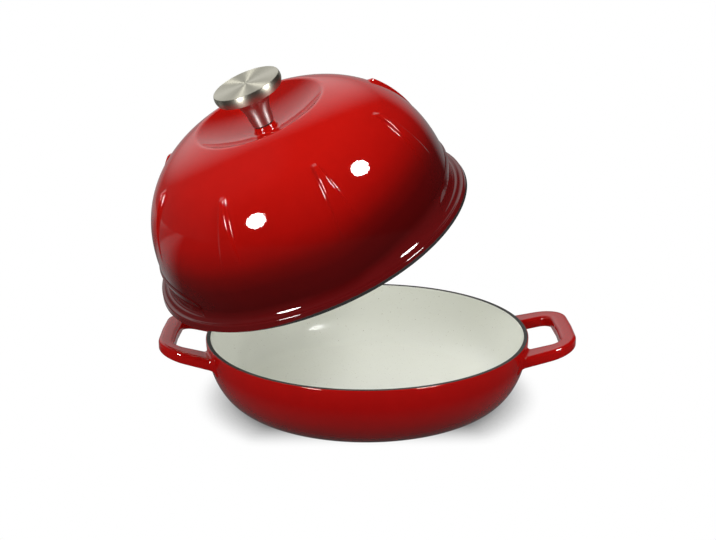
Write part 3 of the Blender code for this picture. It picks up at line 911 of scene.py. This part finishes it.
class Coat(Nodes):
    """A new material with its shader. Its place is a point's place in the frame its piece was made in."""

    def __init__(self, name, roughness=0.5, metallic=0.0, own_frame=True):
        self.material = bpy.data.materials.new(name)
        self.material.use_nodes = True
        super().__init__(self.material.node_tree)
        self.shader = self.nodes["Principled BSDF"]
        self.shader.inputs["Roughness"].default_value = roughness
        self.shader.inputs["Metallic"].default_value = metallic
        if own_frame:
            self.place = self.attribute("own_place")
        else:
            self.place = self.nodes.new("ShaderNodeTexCoord").outputs["Object"]

    def attribute(self, name):
        node = self.nodes.new("ShaderNodeAttribute")
        node.attribute_name = name
        return node.outputs["Vector"]

    def noise(self, scale, detail, roughness=0.5, place=None):
        node = self.nodes.new("ShaderNodeTexNoise")
        node.inputs["Scale"].default_value = scale
        node.inputs["Detail"].default_value = detail
        node.inputs["Roughness"].default_value = roughness
        self.link(place or self.place, node.inputs["Vector"])
        return node.outputs["Fac"]

    def ramp(self, value, stops):
        """Colours at positions from 0 to 1."""
        node = self.nodes.new("ShaderNodeValToRGB")
        band = node.color_ramp
        while len(band.elements) < len(stops):
            band.elements.new(0.5)
        for element, (position, colour) in zip(band.elements, stops):
            element.position = position
            element.color = (*colour, 1)
        self.link(value, node.inputs["Fac"])
        return node.outputs["Color"]

    def mix(self, share, first, second, kind="MIX"):
        """Mixes two colours."""
        node = self.nodes.new("ShaderNodeMix")
        node.data_type = "RGBA"
        node.blend_type = kind
        self.put(share, node.inputs[0])
        self.put(first, node.inputs[6])
        self.put(second, node.inputs[7])
        return node.outputs[2]

    def colour(self, source):
        self.link(source, self.shader.inputs["Base Color"])

    def bump(self, source, strength, depth):
        node = self.nodes.new("ShaderNodeBump")
        node.inputs["Strength"].default_value = strength
        node.inputs["Distance"].default_value = depth
        self.link(source, node.inputs["Height"])
        self.link(node.outputs["Normal"], self.shader.inputs["Normal"])


def red_enamel(name, reach, stops, bare_edge_and_painted_shade=False):
    """Gloss red enamel, sprayed darker towards the foot, with a slight orange peel.

    With a bare edge, the spray leaves a black strip at the foot of the flange, taller towards +X, and
    a painted shade makes the red darker towards +X, so that the dark foot reaches higher on that side.
    """
    coat = Coat(name, RED_ROUGHNESS)
    coat.shader.inputs["IOR"].default_value = RED_IOR
    x, _, height = coat.parts(coat.place)
    drift = coat.span(coat.noise(scale=14, detail=2), 0, 1, -SPRAY_DRIFT, SPRAY_DRIFT)
    if bare_edge_and_painted_shade:
        # Painted shade: the red is made darker towards +X
        side = coat.span(x, *PAINTED_SHADE_RANGE, 0, PAINTED_SHADE, kind="SMOOTHSTEP")
        drift = coat.math("ADD", drift, side)
    tint = coat.ramp(coat.math("ADD", coat.span(height, 0, reach), drift), stops)
    mottle = coat.span(coat.noise(scale=90, detail=4), 0.2, 0.8, 0.0, 0.10)
    tint = coat.mix(mottle, tint, MOTTLE_GREY, "MULTIPLY")
    if bare_edge_and_painted_shade:
        edge = coat.span(x, *BARE_RANGE, *BARE_HEIGHTS, kind="SMOOTHSTEP")
        wander = coat.span(coat.noise(scale=260, detail=3), 0, 1, -BARE_WANDER, BARE_WANDER)
        edge = coat.math("ADD", edge, wander)
        bare = coat.span(coat.math("SUBTRACT", edge, height), -BARE_BLUR, BARE_BLUR)
        tint = coat.mix(bare, tint, BARE_BLACK)
        roughness = coat.span(bare, 0, 1, RED_ROUGHNESS, BARE_ROUGHNESS)
        coat.link(roughness, coat.shader.inputs["Roughness"])
    coat.colour(tint)
    coat.bump(coat.noise(scale=420, detail=2), strength=0.10, depth=0.0003)
    return coat.material


def cream_enamel():
    """Off-white enamel with a few fine specks."""
    coat = Coat("cream_enamel", roughness=0.16)
    specks = coat.span(coat.noise(scale=900, detail=2), 0.70, 0.76)
    cloud = coat.mix(coat.noise(scale=30, detail=3), *CREAM_TINTS)
    coat.colour(coat.mix(specks, cloud, SPECK_TINT))
    coat.bump(coat.noise(scale=220, detail=3), strength=0.06, depth=0.0005)
    return coat.material


def black_rim():
    """Matte black ground coat on the rims and the underside, with the grain of the casting."""
    coat = Coat("black_rim", roughness=0.70)
    grain = coat.span(coat.noise(scale=700, detail=4), 0.35, 0.7)
    coat.colour(coat.mix(grain, *RIM_BLACKS))
    coat.bump(coat.noise(scale=1100, detail=4, roughness=0.6), strength=0.25, depth=0.0004)
    return coat.material


def turned_steel(name, roughness, anisotropy, tint, lay):
    """Steel with the fine rings that turning and brushing leave about its axis."""
    coat = Coat(name, roughness, metallic=1.0)
    coat.shader.inputs["Anisotropic"].default_value = anisotropy
    coat.shader.inputs["Anisotropic Rotation"].default_value = LAY_TURN
    tangent = coat.nodes.new("ShaderNodeVectorTransform")
    tangent.convert_from = "OBJECT"
    tangent.convert_to = "WORLD"
    coat.link(coat.attribute("lay"), tangent.inputs[0])
    coat.link(tangent.outputs[0], coat.shader.inputs["Tangent"])
    x, y, height = coat.parts(coat.place)
    squares = coat.math("ADD", coat.math("MULTIPLY", x, x), coat.math("MULTIPLY", y, y))
    radius = coat.math("SQRT", squares, 0)
    rings = coat.nodes.new("ShaderNodeCombineXYZ")
    coat.link(coat.math("MULTIPLY", radius, RING_SCALE), rings.inputs["X"])
    coat.link(coat.math("MULTIPLY", height, RING_SCALE), rings.inputs["Y"])
    coat.link(coat.math("MULTIPLY", coat.math("ARCTAN2", y, x), 0.5), rings.inputs["Z"])
    lines = coat.noise(scale=45, detail=3, roughness=0.6, place=rings.outputs[0])
    darker = tuple(value * RING_SHADE for value in tint)
    coat.colour(coat.mix(coat.span(lines, 0.3, 0.7), darker, tint))
    coat.bump(lines, strength=lay, depth=0.0001)
    return coat.material


def plain_steel():
    """Bright drawn steel of the screw and its washers."""
    coat = Coat("screw_steel", roughness=0.30, metallic=1.0, own_frame=False)
    coat.colour(coat.mix(coat.noise(scale=500, detail=3), *SCREW_GREYS))
    coat.bump(coat.noise(scale=1500, detail=3), strength=0.10, depth=0.0001)
    return coat.material


def fibre():
    """Black heat-proof fibre of the washer under the knob."""
    coat = Coat("washer_fibre", roughness=0.75, own_frame=False)
    coat.colour(coat.mix(coat.noise(scale=1200, detail=3), *FIBRE_BLACKS))
    coat.bump(coat.noise(scale=2500, detail=3), strength=0.2, depth=0.0001)
    return coat.material


# Studio


def round_lamp(name, radiance, place, target):
    """A round lamp at a place, turned to a target and given its radiance, not its power."""
    data = bpy.data.lights.new(name, "AREA")
    data.shape = "DISK"
    data.size = LAMP_WIDTH
    face = pi * LAMP_WIDTH ** 2 / 4
    data.energy = radiance * pi * face
    lamp = add_object(name, data)
    lamp.location = place
    lamp.rotation_euler = (target - place).to_track_quat("-Z", "Y").to_euler()
    return lamp


def lamps():
    """The two lamps, where their reflections on the dome put them.

    Each is a pair, so that the reflection can be as bright as a bare bulb's and the light it casts plain.
    """
    for name, (spot, away) in LAMPS.items():
        spot = Vector(spot)
        away = Vector(away)
        place = spot + away * LAMP_DISTANCE
        plain = round_lamp(name, LAMP_RADIANCE, place + away * LAMP_GAP, spot)
        plain.visible_glossy = False
        bulb = round_lamp(f"{name}_gloss", GLOSS_RADIANCE, place, spot)
        bulb.visible_diffuse = False


def world():
    """White to the camera, and a soft grey to plain surfaces.

    Gloss sees a dim room with a pale screen behind the object, a soft box high behind it and a faint light
    at its left.
    """
    made = bpy.data.worlds.new("studio")
    bpy.context.scene.world = made
    made.use_nodes = True
    studio = Nodes(made.node_tree)
    shade = studio.nodes["Background"]
    path = studio.nodes.new("ShaderNodeLightPath")
    ray = studio.nodes.new("ShaderNodeTexCoord").outputs["Generated"]
    x, y, _ = studio.parts(ray)
    screen = studio.span(y, *SCREEN_RANGE, 0, SCREEN_LIGHT, kind="SMOOTHSTEP")
    side = studio.span(x, *SIDE_RANGE, 0, SIDE_LIGHT, kind="SMOOTHSTEP")
    depth = studio.span(y, *SIDE_DEPTH_RANGE, kind="SMOOTHSTEP")
    walls = studio.math("MAXIMUM", screen, studio.math("MULTIPLY", side, depth))
    towards_box = studio.dot(ray, SOFT_BOX)
    box = studio.span(towards_box, *SOFT_BOX_RANGE, 0, SOFT_BOX_LIGHT, kind="SMOOTHSTEP")
    gloss = studio.math("MAXIMUM", walls, studio.math("ADD", box, ROOM_LIGHT))
    soft = studio.blend(path.outputs["Is Glossy Ray"], SOFT_LIGHT, gloss)
    seen = studio.math("MAXIMUM", path.outputs["Is Camera Ray"], path.outputs["Is Transmission Ray"])
    studio.link(studio.blend(seen, soft, 1.0), shade.inputs["Strength"])
    shade.inputs["Color"].default_value = (1, 1, 1, 1)


def floor():
    """A round table, white to the camera but for the oven's soft shadow, which fades out in front.

    Gloss sees greys that follow the depth behind the oven, and a faint light near its foot. All else sees a
    pale grey that fades with the distance.
    """
    form = bmesh.new()
    bmesh.ops.create_circle(form, cap_ends=True, segments=TABLE_COLUMNS, radius=TABLE_RADIUS)
    coat = Coat("table_white")
    coat.nodes.remove(coat.shader)
    distance = coat.length(coat.place)
    _, depth, _ = coat.parts(coat.place)
    far = coat.span(distance, *TABLE_FADE, kind="SMOOTHSTEP")
    diffuse = coat.nodes.new("ShaderNodeBsdfDiffuse")
    coat.link(coat.mix(far, TABLE_GREY, (0, 0, 0)), diffuse.inputs["Color"])
    shade = coat.nodes.new("ShaderNodeAmbientOcclusion")
    shade.samples = SHADOW_SAMPLES
    shade.inputs["Distance"].default_value = SHADOW_REACH
    lit = coat.span(shade.outputs["AO"], *SHADOW_RANGE, SHADOW_DARKEST, 1.0)
    front = coat.span(depth, *TABLE_FRONT, kind="SMOOTHSTEP")
    lit = coat.math("MAXIMUM", lit, coat.math("MAXIMUM", far, front))
    near = coat.span(distance, *NEAR_RANGE, 0, NEAR_GLOSS, kind="SMOOTHSTEP")
    mirrored = coat.math("MAXIMUM", coat.ramp(depth, TABLE_GLOSS), near)
    path = coat.nodes.new("ShaderNodeLightPath")
    camera_ray = path.outputs["Is Camera Ray"]
    glossy_ray = path.outputs["Is Glossy Ray"]
    glow = coat.nodes.new("ShaderNodeEmission")
    coat.link(coat.blend(glossy_ray, lit, mirrored), glow.inputs["Strength"])
    both = coat.nodes.new("ShaderNodeMixShader")
    coat.link(coat.math("MAXIMUM", camera_ray, glossy_ray), both.inputs[0])
    coat.link(diffuse.outputs[0], both.inputs[1])
    coat.link(glow.outputs[0], both.inputs[2])
    coat.link(both.outputs[0], coat.nodes["Material Output"].inputs["Surface"])
    table = place_mesh("table", form, [coat.material])
    table.location.z = -TABLE_DROP


def camera():
    """The photograph's view."""
    back = Vector((0, -cos(VIEW_ELEVATION), sin(VIEW_ELEVATION)))
    level = Vector((1, 0, 0))
    upright = back.cross(level)
    right = level * cos(VIEW_ROLL) - upright * sin(VIEW_ROLL)
    up = level * sin(VIEW_ROLL) + upright * cos(VIEW_ROLL)
    data = bpy.data.cameras.new("camera")
    data.sensor_fit = "HORIZONTAL"
    data.lens = FOCAL_PIXELS / FRAME_PIXELS * data.sensor_width
    data.clip_end = VIEW_CLIP
    item = add_object("camera", data)
    turn = Matrix((right, up, back)).transposed().to_4x4()
    item.matrix_world = Matrix.Translation(VIEW_TARGET + back * VIEW_DISTANCE) @ turn
    bpy.context.scene.camera = item


# Assembly


def dress():
    """Builds the pieces, gives every CAD node its material and hangs all on their bodies."""
    rim = black_rim()
    cream = cream_enamel()
    lid_red = red_enamel("lid_red", LID_REACH, LID_STOPS, bare_edge_and_painted_shade=True)
    pan_red = red_enamel("pan_red", PAN_REACH, PAN_STOPS)
    cap_steel = turned_steel("cap_steel", roughness=0.40, anisotropy=0.88, tint=CAP_TINT, lay=0.15)
    neck_steel = turned_steel("neck_steel", roughness=0.38, anisotropy=0.92, tint=NECK_TINT, lay=0.08)
    pieces = (
        (pan([pan_red, cream, rim]), "base_pan", "red_enamel", "pan"),
        (handle(1, [pan_red]), "base_pan", "red_enamel", "pan"),
        (handle(-1, [pan_red]), "base_pan", "red_enamel", "pan"),
        (lid([lid_red, cream, rim]), "lid_dome", "red_enamel", "lid"),
        (knob_disc([cap_steel]), "knob_cap", "brushed_steel", "lid"),
        (knob_neck([neck_steel]), "knob_stem", "brushed_steel", "lid"),
    )
    for piece, node, finish, body in pieces:
        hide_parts(node)
        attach(piece, body)
    steel = plain_steel()
    for node in ("knob_insert", "knob_screw", "lock_washer", "flat_washer"):
        frame["nodes"][node].material_slots[0].material = steel
    frame["nodes"]["knob_washer"].material_slots[0].material = fibre()


bpy.context.scene.view_settings.view_transform = "Standard"
camera()
world()
lamps()
floor()
dress()
